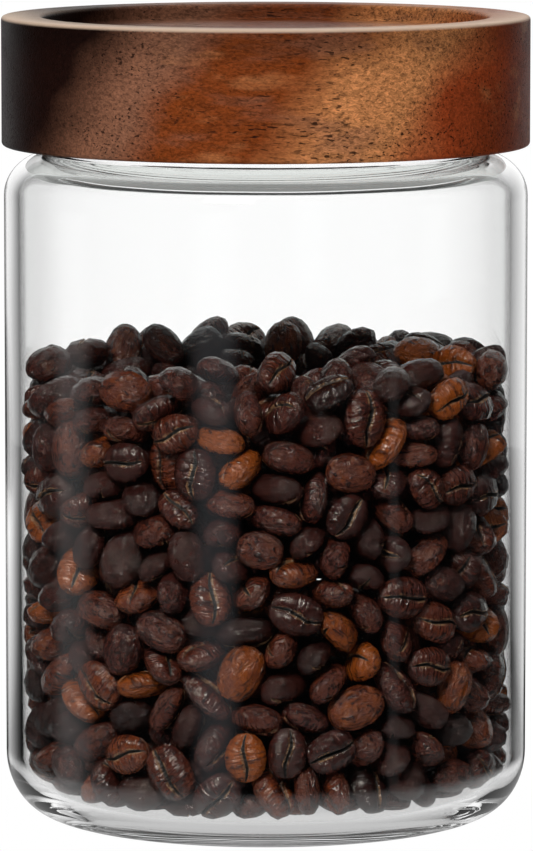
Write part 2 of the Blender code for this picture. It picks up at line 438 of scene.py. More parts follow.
def thread_tree():
    """Moves the points near a neck or a bore out, along one helix that winds up round Z."""
    names = ("Lead", "Depth", "Root", "Crest", "Low", "High", "Fade", "Radius")
    inputs = {"Geometry": ("Geometry", None), **{n: ("Float", 0.001) for n in names}}
    inputs["Material"] = ("Material", None)
    tree, given, result = group("Screw thread", "GeometryNodeTree", inputs, {"Geometry": "Geometry"})
    lead, depth, root, crest, low, high, fade, neck = (given.outputs[n] for n in names)
    x, y, z = split(tree, put(tree, "GeometryNodeInputPosition").outputs[0])
    angle = maths(tree, "DIVIDE", maths(tree, "ARCTAN2", y, x), 2 * math.pi)
    turns = minus(tree, maths(tree, "DIVIDE", z, lead), angle)
    off = times(tree, minus(tree, turns, maths(tree, "ROUND", turns)), lead)
    middle = minus(tree, z, off)
    away = maths(tree, "ABSOLUTE", off)
    profile = between(tree, away, maths(tree, "DIVIDE", root, 2.0), maths(tree, "DIVIDE", crest, 2.0))
    rising = between(tree, middle, low, plus(tree, low, fade))
    ending = between(tree, middle, high, minus(tree, high, fade))
    raised = times(tree, profile, rising, ending)
    radius = maths(tree, "SQRT", plus(tree, times(tree, x, x), times(tree, y, y)))
    wanted = plus(tree, neck, times(tree, depth, raised))
    scale = maths(tree, "DIVIDE", most(tree, wanted, radius), radius)
    across = put(tree, "ShaderNodeCombineXYZ")
    feed(tree, across, times(tree, x, scale), times(tree, y, scale), z)
    marked = put(tree, "GeometryNodeInputNamedAttribute", data_type="FLOAT")
    marked.inputs["Name"].default_value = "threaded"
    chosen = maths(tree, "GREATER_THAN", marked.outputs[0], 0.5)
    move = put(tree, "GeometryNodeSetPosition")
    feed(tree, move, Geometry=given.outputs[0], Selection=chosen, Position=across.outputs[0])
    return finished(tree, move.outputs[0], given, result)


def grown(name, start, tree, **values):
    """The plain mesh piece that a Geometry Nodes tree makes from a start object, which is used up."""
    change = start.modifiers.new(tree.name, "NODES")
    change.node_group = tree
    for item in tree.interface.items_tree:
        if item.in_out == "INPUT" and item.name in values:
            change[item.identifier] = values[item.name]
    bpy.context.view_layer.update()
    graph = bpy.context.evaluated_depsgraph_get()
    made = start.evaluated_get(graph)
    mesh = bpy.data.meshes.new_from_object(made, preserve_all_data_layers=True, depsgraph=graph)
    mesh.name = name
    start.modifiers.remove(change)
    bpy.data.objects.remove(start)
    return set_down(name, mesh)


def threaded(name, plain, low, high, neck, material, **thread):
    """Cuts or raises the thread on the rings of a turned piece that stand at the neck, between two levels."""
    mesh = plain.data
    places = np.empty(len(mesh.vertices) * 3, np.float32)
    mesh.vertices.foreach_get("co", places)
    places = places.reshape(-1, 3)
    radii = np.hypot(places[:, 0], places[:, 1])
    near = (np.abs(radii - neck) < NEAR_NECK) & (places[:, 2] > low) & (places[:, 2] < high)
    mark = mesh.attributes.new("threaded", "FLOAT", "POINT")
    mark.data.foreach_set("value", near.astype(np.float32))
    piece = grown(name, plain, thread_tree(), Radius=neck, Material=material, **thread)
    piece.data.attributes.remove(piece.data.attributes["threaded"])
    piece.data.shade_smooth()
    piece.data.set_sharp_from_angle(angle=SHARP)
    return piece


# --- Glass jar ---


def clear_glass(sizes):
    """Clear pressed glass. Shadows, soft light and what the beans reflect pass straight through it."""
    made, tree, shader = new_material("Clear glass")
    roughness, relief = handled(tree, 26.0, 0.002, 0.006)
    place = in_mm(tree, own_place(tree))
    waves = noise(tree, placed(tree, place, scale=(0.035, 0.035, 0.012)), 1.0, 1.0, 0.4)
    height = plus(tree, waves, times(tree, relief, 0.003))
    feed(
        tree,
        shader,
        Base_Color=sizes.tint[:],
        Roughness=roughness,
        IOR=1.5,
        Transmission_Weight=1.0,
        Normal=bumped(tree, height, 0.35, 0.0012),
    )
    path = put(tree, "ShaderNodeLightPath")
    passing = most(tree, path.outputs["Is Shadow Ray"], path.outputs["Is Diffuse Ray"])
    # What the beans mirror: a ray that has been through the glass once, and meets it from inside the jar
    depth = path.outputs["Transmission Depth"]
    in_air = maths(tree, "LESS_THAN", maths(tree, "MODULO", depth, 2.0), 0.5)
    inside = maths(tree, "GREATER_THAN", depth, 1.5)
    mirrored = minus(tree, 1.0, path.outputs["Is Transmission Ray"])
    in_air = times(tree, in_air, inside, path.outputs["Is Glossy Ray"], mirrored)
    through = feed(tree, put(tree, "ShaderNodeBsdfTransparent"), (0.93, 0.95, 0.94))
    show(tree, merged(tree, most(tree, passing, in_air), shader.outputs[0], through))
    return made


def jar_profile(sizes):
    """The glass: under the base, up the outside, over the rim, down the inside and across the floor."""
    outside = JAR_HIGH.x
    rim_z = JAR_HIGH.z
    neck = outside - sizes.neck_inset
    inside = neck - sizes.wall
    shoulder_z = rim_z - sizes.neck_height - sizes.shoulder_drop
    heel = (outside - sizes.heel_reach, sizes.heel_rise)
    shoulder = (outside - sizes.shoulder_reach, shoulder_z)
    foot = heel[0] - sizes.foot
    rim = sizes.wall / 2
    wall = sizes.wall
    reach, drop, fillet = sizes.shoulder_reach, sizes.shoulder_drop, sizes.neck_fillet
    up = corner_to_neck(shoulder, reach, drop, neck, fillet, 14)
    down = corner_to_neck(shoulder, reach - wall, drop - wall, inside, fillet, 12)
    down.reverse()
    return [
        (0.0, sizes.push_up),
        (foot - sizes.push_up_slope - SUPPORT, sizes.push_up),
        (foot - sizes.push_up_slope, sizes.push_up * 0.9),
        (foot, sizes.push_up * 0.08),
        (foot + SUPPORT, 0.0),
        *arc(heel, sizes.heel_reach, sizes.heel_rise, -90, 0, 16),
        *upright(outside, sizes.heel_rise, shoulder_z),
        *up,
        *upright(neck, up[-1][1], rim_z - rim, ROW),
        *arc((neck - rim, rim_z - rim), rim, rim, 0, 180, 10),
        *upright(inside, rim_z - rim, down[0][1]),
        *down,
        *upright(outside - wall, shoulder_z, sizes.heel_rise),
        *arc(heel, sizes.heel_reach - wall, sizes.heel_rise - sizes.base, 0, -90, 14),
        (heel[0] - SUPPORT, sizes.base),
        (0.0, sizes.base),
    ]


class CANISTER_OT_glass_jar(bpy.types.Operator):
    """Turn the glass jar and raise the thread on its neck"""

    bl_idname = "canister.glass_jar"
    bl_label = "Glass Jar"

    def execute(self, context):
        sizes, thread = context.scene.canister_jar, context.scene.canister_thread
        neck = JAR_HIGH.x - sizes.neck_inset
        shoulder_z = JAR_HIGH.z - sizes.neck_height
        jar = threaded(
            "jar_glass",
            turned("jar_blank", jar_profile(sizes)),
            shoulder_z + SUPPORT,
            JAR_HIGH.z - sizes.wall,
            neck,
            clear_glass(sizes),
            Lead=thread.lead,
            Depth=thread.depth,
            Root=thread.root,
            Crest=thread.crest,
            Low=shoulder_z + thread.start,
            High=JAR_HIGH.z - thread.end,
            Fade=thread.fade,
        )
        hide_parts("glass_jar")
        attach(jar, "jar")
        return {"FINISHED"}


# --- Wooden lid ---


GRAIN_TILT = math.radians(-2.0)
ZONE_SLANT = -0.60  # how far the zones of colour lean, for each millimetre up
ZONE_WANDER = 18.0  # millimetres over which their edges drift
ZONES = (-50.0, 58.0)  # millimetres across the lid, from the first zone to the last


def turned_wood(sizes):
    """Dark figured hardwood, its grain lying across the lid, finished with a thin satin oil."""
    made, tree, shader = new_material("Turned hardwood")
    place = placed(tree, own_place(tree), scale=(1000.0,) * 3, rotation=(0.0, GRAIN_TILT, 0.0))
    straight = in_mm(tree, own_place(tree))
    x, y, z = split(tree, straight)
    # Broad cloudy zones of colour, one after another along the board; the plum zone and its clouds are partly
    # a painted purple-grey sheen
    drift = noise(tree, placed(tree, place, scale=(0.05, 0.03, 0.07)), 1.0, 1.0)
    wander = times(tree, minus(tree, drift, 0.5), ZONE_WANDER)
    slant = times(tree, minus(tree, z, LID_HIGH.z * 1000), ZONE_SLANT)
    across = plus(tree, plus(tree, x, wander), slant)
    zone = between(tree, across, *ZONES, kind="LINEAR")
    dark, plum_and_sheen, orange = sizes.dark_wood, sizes.plum_wood_and_sheen, sizes.orange_wood
    golden, red = sizes.golden_wood, sizes.red_wood
    base = ramp(
        tree,
        zone,
        (0.00, dark),
        (0.17, dark),
        (0.30, plum_and_sheen),
        (0.35, plum_and_sheen),
        (0.43, orange),
        (0.57, orange),
        (0.69, golden),
        (0.78, golden),
        (0.88, red),
        (0.96, [c * 0.7 for c in red]),
    )
    cloud_place = placed(tree, place, scale=(0.035, 0.10, 0.13), location=(3.0, 1.0, 7.0))
    cloud = noise(tree, cloud_place, 1.0, 3.0, 0.6)
    middle = times(tree, between(tree, zone, 0.20, 0.32), between(tree, zone, 0.86, 0.70))
    clouded = times(tree, between(tree, cloud, 0.50, 0.68, 0.0, 0.55), middle)
    base = mixed(tree, clouded, base, plum_and_sheen[:])
    lit_up = between(tree, cloud, 0.46, 0.30, 0.0, 0.45)
    base = mixed(tree, times(tree, lit_up, between(tree, zone, 0.25, 0.42)), base, golden[:])
    # Interlocked fibres: short, fine and rippled, standing on end where the grain dips
    ripple = noise(tree, placed(tree, place, scale=(0.42, 1.0, 1.0)), 2.4, 3.0, 0.62, 0.7)
    streak = noise(tree, placed(tree, place, scale=(0.06, 1.0, 1.0)), 1.3, 3.0, 0.6, 0.4)
    curl_place = placed(tree, place, scale=(0.35, 1.0, 1.0), rotation=(0.0, math.radians(35.0), 0.0))
    curl = noise(tree, curl_place, 2.0, 3.0, 0.65, 1.0)
    curly = times(tree, between(tree, zone, 0.55, 0.68), between(tree, zone, 0.95, 0.82))
    figure = mixed_value(tree, curly, ripple, curl)
    shade = plus(tree, times(tree, figure, 0.7), times(tree, streak, 0.3))
    tone = between(tree, shade, 0.37, 0.63, -1.0, 1.0, kind="LINEAR")
    tone = times(tree, tone, mixed_value(tree, curly, 0.46, 0.62))
    base = mixed(tree, 1.0, base, plus(tree, tone, 1.0), "MULTIPLY")
    # Painted shade: the side of the lid is darkened toward its top, down to two thirds of its colour at the
    # top edge
    from_top = minus(tree, LID_HIGH.z * 1000, z)
    base = mixed(tree, 1.0, base, between(tree, from_top, 1.5, 9.0, 0.66, 1.0), "MULTIPLY")
    # Pores: fine dark ticks along the grain, dots where the surface cuts across it
    pore_place = placed(tree, place, scale=(0.24, 1.5, 1.5))
    pores = between(tree, noise(tree, pore_place, 1.5, 1.0, 0.4, 0.3), 0.37, 0.31)
    patch = between(tree, noise(tree, placed(tree, place, scale=(0.05, 0.10, 0.10)), 1.0, 1.0), 0.38, 0.56)
    pores = times(tree, pores, patch)
    base = mixed(tree, times(tree, pores, 0.85), base, dark[:])
    # Painted highlight: the rim's top is painted pale cream toward its outer edge, strongly on the front (-Y)
    # side and hardly at all at the back
    out = from_middle(tree, placed(tree, straight, scale=(1.0, 1.0, 0.0)))
    edge = LID_HIGH.x * 1000
    rim_highlight_mask = between(tree, out, edge - sizes.rim * 1000, edge - 0.5, 0.45, 1.0)
    on_top = between(tree, from_top, 0.75, 0.15)
    rim_highlight_mask = times(tree, rim_highlight_mask, on_top, between(tree, y, 30.0, -10.0, 0.05, 0.90))
    base = mixed(tree, rim_highlight_mask, base, sizes.rim_highlight_colour[:])
    gloss, relief = handled(tree, 9.0, 0.42, 0.16)
    roughness = plus(tree, gloss, times(tree, pores, 0.25), clamp=True)
    height = minus(tree, figure, pores)
    height = plus(tree, height, times(tree, relief, 0.08))
    feed(
        tree,
        shader,
        Base_Color=base,
        Roughness=roughness,
        Specular_IOR_Level=0.05,
        Normal=bumped(tree, height, 0.60, 0.00018),
    )
    # Painted glow where the wood is seen through the glass
    painted_neck_glow(made, NECK_GLOW_WOOD)
    return made


NECK_GLOW_WOOD = 0.78  # brightness of the painted glow that the wood gives off where it is seen through the glass neck
NECK_GLOW_SEAL = 0.85  # and the seal
NECK_GLOW_BACK = 0.28  # share of that glow on the far side


def painted_neck_glow(made, strength):
    """Painted glow: seen through the glass, the material gives off a pale light, full on the front (-Y) side
    and weaker behind, standing in for light held inside the thick neck.
    """
    tree = made.node_tree
    y = split(tree, own_place(tree))[1]
    level = between(tree, y, 0.02, -0.02, strength * NECK_GLOW_BACK, strength)
    glow = feed(tree, put(tree, "ShaderNodeEmission"), (0.97, 1.0, 0.97), level)
    bent = put(tree, "ShaderNodeLightPath").outputs["Is Transmission Ray"]
    show(tree, merged(tree, bent, tree.nodes["Principled BSDF"].outputs[0], glow))


def seal_inside():
    """Inner radius of the seal's lip, which fits inside the jar's mouth with a little room."""
    jar, seal = bpy.context.scene.canister_jar, bpy.context.scene.canister_seal
    return JAR_HIGH.x - jar.neck_inset - jar.wall - seal.lip_gap - seal.lip


def lid_profile(sizes, bore):
    """The lid: under the boss, down the bore, round the outside, over the rim and across the recess."""
    outside, top, bottom = LID_HIGH.x, LID_HIGH.z, LID_LOW.z
    ceiling = SEAL_HIGH.z + sizes.seal_gap
    recess_z = top - sizes.recess
    recess = outside - sizes.rim
    boss = seal_inside() - sizes.seal_gap
    boss_z = ceiling - sizes.boss_drop
    edge, inner, soft = sizes.edge, sizes.inner_edge, sizes.floor_round
    return [
        (0.0, boss_z),
        (boss - sizes.boss_edge, boss_z),
        (boss, boss_z + sizes.boss_edge),
        (boss, ceiling),
        (bore, ceiling),
        *upright(bore, ceiling, bottom + sizes.mouth, ROW),
        (bore, bottom + sizes.mouth),
        (bore + sizes.mouth, bottom),
        (outside - edge - SUPPORT, bottom),
        *arc((outside - edge, bottom + edge), edge, edge, -90, 0, 6),
        *upright(outside, bottom + edge, top - edge),
        *arc((outside - edge, top - edge), edge, edge, 0, 90, 6),
        (outside - edge - SUPPORT, top),
        (recess + inner + SUPPORT, top),
        *arc((recess + inner, top - inner), inner, inner, 90, 180, 6),
        *reversed(arc((recess - soft, recess_z + soft), soft, -soft, 90, 0, 4)),
        (recess - soft - SUPPORT, recess_z),
        (0.0, recess_z),
    ]


class CANISTER_OT_wooden_lid(bpy.types.Operator):
    """Turn the wooden lid and cut the groove that the jar's thread runs in"""

    bl_idname = "canister.wooden_lid"
    bl_label = "Wooden Lid"

    def execute(self, context):
        sizes, thread = context.scene.canister_lid, context.scene.canister_thread
        jar = context.scene.canister_jar
        neck = JAR_HIGH.x - jar.neck_inset
        bore = neck + sizes.neck_gap
        lid = threaded(
            "lid_wood",
            turned("lid_blank", lid_profile(sizes, bore)),
            LID_LOW.z - thread.lead,
            SEAL_HIGH.z - SUPPORT,
            bore,
            turned_wood(sizes),
            Lead=thread.lead,
            Depth=thread.depth + thread.gap - sizes.neck_gap,
            Root=thread.root + 2 * thread.gap,
            Crest=thread.crest + 2 * thread.gap,
            Low=LID_LOW.z - 2 * thread.lead,
            High=JAR_HIGH.z - thread.end + thread.fade,
            Fade=thread.fade,
        )
        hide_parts("wooden_lid")
        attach(lid, "lid")
        return {"FINISHED"}


# --- Silicone seal ---


def milky_silicone(sizes):
    made, tree, shader = new_material("Milky silicone")
    roughness, relief = handled(tree, 5.0, 0.46, 0.12)
    cloud = noise(tree, in_mm(tree, own_place(tree)), 0.35, 2.0)
    feed(
        tree,
        shader,
        Base_Color=mixed(tree, cloud, sizes.tint[:], [c * 0.93 for c in sizes.tint]),
        Roughness=roughness,
        Normal=bumped(tree, relief, 0.2, 0.0001),
    )
    shader.inputs["Subsurface Weight"].default_value = 0.35
    shader.inputs["Subsurface Radius"].default_value = (0.6, 0.6, 0.55)
    shader.inputs["Subsurface Scale"].default_value = 0.002
    # Painted glow where the seal is seen through the glass
    painted_neck_glow(made, NECK_GLOW_SEAL)
    return made


def seal_profile(sizes):
    """A flat ring over the rim, with a lip that hangs inside the mouth."""
    outside, top, bottom = SEAL_HIGH.x, SEAL_HIGH.z, SEAL_LOW.z
    inside = seal_inside()
    lip = inside + sizes.lip
    under = bottom + sizes.lip_drop
    soft = sizes.edge
    return [
        *arc((inside + soft, bottom + soft), soft, soft, 180, 270, 4),
        *arc((lip - soft, bottom + soft), soft, soft, -90, 0, 4),
        (lip, under),
        *arc((outside - soft, under + soft), soft, soft, -90, 0, 4),
        *arc((outside - soft, top - soft), soft, soft, 0, 90, 4),
        *arc((inside + soft, top - soft), soft, soft, 90, 180, 4),
    ]


class CANISTER_OT_silicone_seal(bpy.types.Operator):
    """Mould the seal that sits on the lid's boss"""

    bl_idname = "canister.silicone_seal"
    bl_label = "Silicone Seal"

    def execute(self, context):
        sizes = context.scene.canister_seal
        seal = turned("seal_silicone", seal_profile(sizes), ring_section=True)
        seal.data.materials.append(milky_silicone(sizes))
        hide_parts("silicone_seal")
        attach(seal, "seal")
        return {"FINISHED"}


# --- Coffee beans ---

# Balls that stand for a bean while it settles, in shares of its length and width beyond its thickness
BALLS = np.array([(1.0, 0.0), (-1.0, 0.0), (0.53, 1.07), (0.53, -1.07), (-0.53, 1.07), (-0.53, -1.07)])
START_TOP = 150.0  # millimetres up to which the beans start, loosely spread
START_LOW = 9.0  # and from which
FALL_STEPS = 240
REST_STEPS = 60
SOLVES = 3  # times that overlaps are pushed apart in each step
NEIGHBOURS = 12.0  # millimetres between two beans that may touch
SORT_EVERY = 4  # steps for which a list of neighbours holds
EASE = 0.6  # how far a bean's pushes are shared out over its contacts
FOOTING = 0.4  # how much heavier the lower bean of a pair counts, for each millimetre
FALL = 0.60  # millimetres that each bean drops in a step, before the others hold it up
SLOWING = 0.6  # share of that drop lost by the last step


def turned_by(turns, spin):
    """Rotation matrices after a further small turn, squared up again."""
    x, y, z = spin.T
    cross = np.zeros((len(spin), 3, 3))
    cross[:, 0, 1], cross[:, 0, 2], cross[:, 1, 2] = -z, y, -x
    cross -= cross.transpose(0, 2, 1)
    moved = turns + cross @ turns
    first = moved[:, :, 0] / np.linalg.norm(moved[:, :, 0], axis=1, keepdims=True)
    second = moved[:, :, 1] - first * (first * moved[:, :, 1]).sum(1, keepdims=True)
    second /= np.linalg.norm(second, axis=1, keepdims=True)
    return np.stack([first, second, np.cross(first, second)], axis=2)


def summed(bodies, pushes, count):
    """The pushes added up for each body."""
    return np.stack([np.bincount(bodies, pushes[:, k], count) for k in range(3)], 1)


def wall_pushes(balls, radii, room):
    """How far, and which way, the glass and the unseen middle push each ball."""
    side, floor, corner, core, core_low, core_high = room
    across = np.linalg.norm(balls[..., :2], axis=-1) + 1e-9
    out = np.zeros_like(balls)
    out[..., :2] = balls[..., :2] / across[..., None]
    height = balls[..., 2]
    push = -np.maximum(0.0, across + radii - side)[..., None] * out
    push[..., 2] += np.maximum(0.0, floor + radii - height)
    past = np.stack([across - (side - corner), (floor + corner) - height], axis=-1)
    span = np.linalg.norm(past, axis=-1)
    rounded = (past > 0).all(-1) & (span + radii > corner)
    depth = np.where(rounded, span + radii - corner, 0.0) / np.maximum(span, 1e-9)
    bent = -out * (past[..., :1] * depth[..., None])
    bent[..., 2] = past[..., 1] * depth
    push = np.where(rounded[..., None], bent, push)
    from_core = core + radii - across
    over = core_high + radii - height
    under = height - (core_low - radii)
    hits = (from_core > 0) & (over > 0) & (under > 0)
    least = np.minimum(np.minimum(from_core, over), under)
    push += np.where((hits & (least == from_core))[..., None], out * from_core[..., None], 0.0)
    push[..., 2] += np.where(hits & (least == over) & (least < from_core), over, 0.0)
    push[..., 2] -= np.where(hits & (least == under) & (least < from_core), under, 0.0)
    return push


def settle(half, room, rng):
    """Lets beans of these half sizes, in millimetres, settle. Returns their centres and rotations."""
    count = len(half)
    radii = np.repeat(half[:, 2:], len(BALLS), axis=1)
    own = np.zeros((count, len(BALLS), 3))
    own[..., :2] = BALLS * (half[:, None, :2] - half[:, None, 2:])
    angle = rng.uniform(0, 2 * math.pi, count)
    inner = room[3] + half[:, 0]
    reach = np.sqrt(rng.uniform(inner**2, (room[0] - half[:, 0]) ** 2))
    height = rng.permutation(np.linspace(START_LOW, START_TOP, count))
    centres = np.stack([reach * np.cos(angle), reach * np.sin(angle), height], 1)
    turns = turned_by(np.tile(np.eye(3), (count, 1, 1)), rng.normal(0.0, 3.0, (count, 3)))
    turning = 1.0 / (0.4 * (half[:, :2].mean(1)) ** 2)
    hurry = 1
    falling = FALL_STEPS // hurry
    for step in range(falling + REST_STEPS // hurry):
        if step < falling:
            centres[:, 2] -= FALL * hurry * (1.0 - SLOWING * step / falling)
        footing = FOOTING if step < falling else FOOTING / 3
        if step % SORT_EVERY == 0:
            gaps = ((centres[:, None] - centres[None]) ** 2).sum(-1)
            a, b = np.nonzero(np.triu(gaps < NEIGHBOURS**2, 1))
        for _ in range(SOLVES):
            arms = np.einsum("nij,nkj->nki", turns, own)
            balls = centres[:, None] + arms
            apart = balls[a][:, :, None] - balls[b][:, None]
            wide = np.sqrt((apart**2).sum(-1))
            over = radii[a][:, :1] + radii[b][:, :1]
            pair, i, j = np.nonzero(wide < over[..., None])
            normal = apart[pair, i, j] / np.maximum(wide[pair, i, j], 1e-6)[:, None]
            depth = over[pair, 0] - wide[pair, i, j]
            near, far = a[pair], b[pair]
            arm_near, arm_far = np.cross(arms[near, i], normal), np.cross(arms[far, j], normal)
            # The lower bean of a pair counts as the heavier, so that the heap holds itself up
            rise = np.clip((centres[near, 2] - centres[far, 2]) * footing, -4.0, 4.0)
            light = 2.0 / (1.0 + np.exp(-rise))
            give = light * (1.0 + turning[near] * (arm_near**2).sum(1))
            give += (2.0 - light) * (1.0 + turning[far] * (arm_far**2).sum(1))
            push_near, push_far = depth / give * light, depth / give * (2.0 - light)
            bodies = np.concatenate([near, far])
            shift = np.concatenate([normal * push_near[:, None], -normal * push_far[:, None]])
            arm_near *= (push_near * turning[near])[:, None]
            arm_far *= (push_far * turning[far])[:, None]
            spin = np.concatenate([arm_near, -arm_far])
            contacts = np.maximum(np.bincount(bodies, minlength=count), 1.0)[:, None] ** EASE
            centres += summed(bodies, shift, count) / contacts
            turns = turned_by(turns, summed(bodies, spin, count) / contacts)
            arms = np.einsum("nij,nkj->nki", turns, own)
            walls = wall_pushes(centres[:, None] + arms, radii, room)
            lengths = np.linalg.norm(walls, axis=-1)
            worst = lengths.argmax(1)
            everyone = np.arange(count)
            wall, arm, deep = walls[everyone, worst], arms[everyone, worst], lengths[everyone, worst]
            wall_arm = np.cross(arm, wall / np.maximum(deep, 1e-9)[:, None])
            part = 1.0 / (1.0 + turning * (wall_arm**2).sum(1))
            centres += wall * part[:, None]
            turns = turned_by(turns, wall_arm * (deep * part * turning)[:, None])
    return centres, turns


def bean_shape(name, bend, fullness):
    """One roasted bean, a unit each way from its middle: domed back, flat belly, S-shaped crease."""
    back = [(math.cos(a), 0.34 + 0.66 * math.sin(a)) for a in np.radians(np.arange(0, 181, 30))]
    belly = [(-0.66, 0.10), (-0.12, 0.02), (0.0, 0.26), (0.12, 0.02), (0.66, 0.10)]
    section = back + belly
    points, faces, marks = [(-1.0, 0.0, -0.15)], [], [0.6]
    rings = 7
    for k in range(1, rings + 1):
        turn = math.pi * k / (rings + 1)
        x = -math.cos(turn)
        swell = math.sin(turn) ** fullness
        sway = bend * math.sin(math.pi * x)
        for i, (y, z) in enumerate(section):
            creased = abs(y) < 0.2 and i >= len(back)
            points.append((x, (y + (sway if creased else 0.0)) * swell, (2.0 * z - 1.0) * swell**0.9))
            marks.append(1.0 - abs(y) if i >= len(back) else 0.0)
    points.append((1.0, 0.0, -0.15))
    marks.append(0.6)
    size = len(section)
    for k in range(rings - 1):
        for i in range(size):
            j = (i + 1) % size
            first = 1 + k * size
            faces.append((first + i, first + size + i, first + size + j, first + j))
    last = len(points) - 1
    for i in range(size):
        j = (i + 1) % size
        faces.append((0, 1 + i, 1 + j))
        faces.append((last, last - size + j, last - size + i))
    mesh = bpy.data.meshes.new(name)
    mesh.from_pydata(points, [], faces)
    mesh.attributes.new("crease", "FLOAT", "POINT").data.foreach_set("value", marks)
    own = mesh.attributes.new("own", "FLOAT_VECTOR", "POINT")
    own.data.foreach_set("vector", np.array(points, np.float32).ravel())
    mesh.shade_smooth()
    return bpy.data.objects.new(name, mesh)


def scatter_tree(shapes):
    """Puts a bean on each point, with the size and turn that the point holds."""
    inputs = {"Geometry": ("Geometry", None), "Material": ("Material", None), "Size": ("Float", 1.0)}
    tree, given, result = group("Scattered beans", "GeometryNodeTree", inputs, {"Geometry": "Geometry"})
    choices = put(tree, "GeometryNodeGeometryToInstance")
    for shape in shapes:
        held = put(tree, "GeometryNodeObjectInfo")
        held.inputs["Object"].default_value = shape
        tree.links.new(held.outputs["Geometry"], choices.inputs[0])

    def kept(name, kind):
        node = put(tree, "GeometryNodeInputNamedAttribute", data_type=kind)
        node.inputs["Name"].default_value = name
        return node.outputs[0]

    turn = put(tree, "FunctionNodeEulerToRotation")
    feed(tree, turn, kept("turn", "FLOAT_VECTOR"))
    stretch = put(tree, "ShaderNodeVectorMath", operation="SCALE")
    size = feed(tree, stretch, kept("size", "FLOAT_VECTOR"), Scale=given.outputs["Size"])
    beans = feed(
        tree,
        put(tree, "GeometryNodeInstanceOnPoints"),
        Points=given.outputs[0],
        Instance=choices.outputs[0],
        Pick_Instance=True,
        Instance_Index=kept("kind", "INT"),
        Rotation=turn.outputs[0],
        Scale=size,
    )
    return finished(tree, beans, given, result)


def roasted(sizes):
    """Roasted bean skin: wrinkled, a little oily, with paler silverskin left in the crease."""
    made, tree, shader = new_material("Roasted coffee")

    def kept(name):
        return put(tree, "ShaderNodeAttribute", attribute_name=name)

    roast, crease = kept("roast").outputs["Fac"], kept("crease").outputs["Fac"]
    own = kept("own").outputs["Vector"]
    place = in_mm(tree, own_place(tree))
    mottle = noise(tree, place, 0.40, 3.0, 0.6)
    level = plus(tree, roast, times(tree, minus(tree, mottle, 0.5), 0.5))
    skin = ramp(tree, level, (0.0, sizes.dark), (0.50, sizes.brown), (0.74, sizes.warm), (0.96, sizes.light))
    under = between(tree, split(tree, own)[2], 0.1, -0.6)
    shifted = vectors(tree, "ADD", own, placed(tree, place, scale=(0.03, 0.03, 0.03)))
    folds = noise(tree, placed(tree, shifted, scale=(4.2, 0.9, 0.9)), 1.2, 2.0, 0.5, 0.4)
    dents = noise(tree, placed(tree, shifted, scale=(1.5, 2.0, 2.0)), 1.4, 4.0, 0.62, 0.6)
    wrinkles = mixed_value(tree, times(tree, under, 0.75), dents, folds)
    ragged = plus(tree, crease, times(tree, minus(tree, dents, 0.5), 0.14))
    # Paler lips each side of the crease, and painted shade: the gap between them is painted near black
    lips = times(tree, between(tree, ragged, 0.80, 0.85), between(tree, ragged, 0.94, 0.90))
    patchy = between(tree, mottle, 0.44, 0.60, 0.05, 0.80)
    skin = mixed(tree, times(tree, lips, patchy), skin, sizes.chaff[:])
    gap = between(tree, ragged, 0.895, 0.94)
    skin = mixed(tree, gap, skin, (0.002, 0.001, 0.001))
    # Painted shade: the valleys of the wrinkles are darkened toward the dark roast colour
    skin = mixed(tree, between(tree, wrinkles, 0.50, 0.34, 0.0, 0.75), skin, sizes.dark[:])
    gloss, relief = handled(tree, 3.0, 0.20, 0.18)
    gloss = plus(tree, gloss, times(tree, gap, 0.5), clamp=True)
    height = plus(tree, wrinkles, times(tree, relief, 0.12))
    feed(
        tree,
        shader,
        Base_Color=skin,
        Roughness=gloss,
        Specular_IOR_Level=0.8,
        Normal=bumped(tree, height, 1.0, 0.0014),
    )
    return made


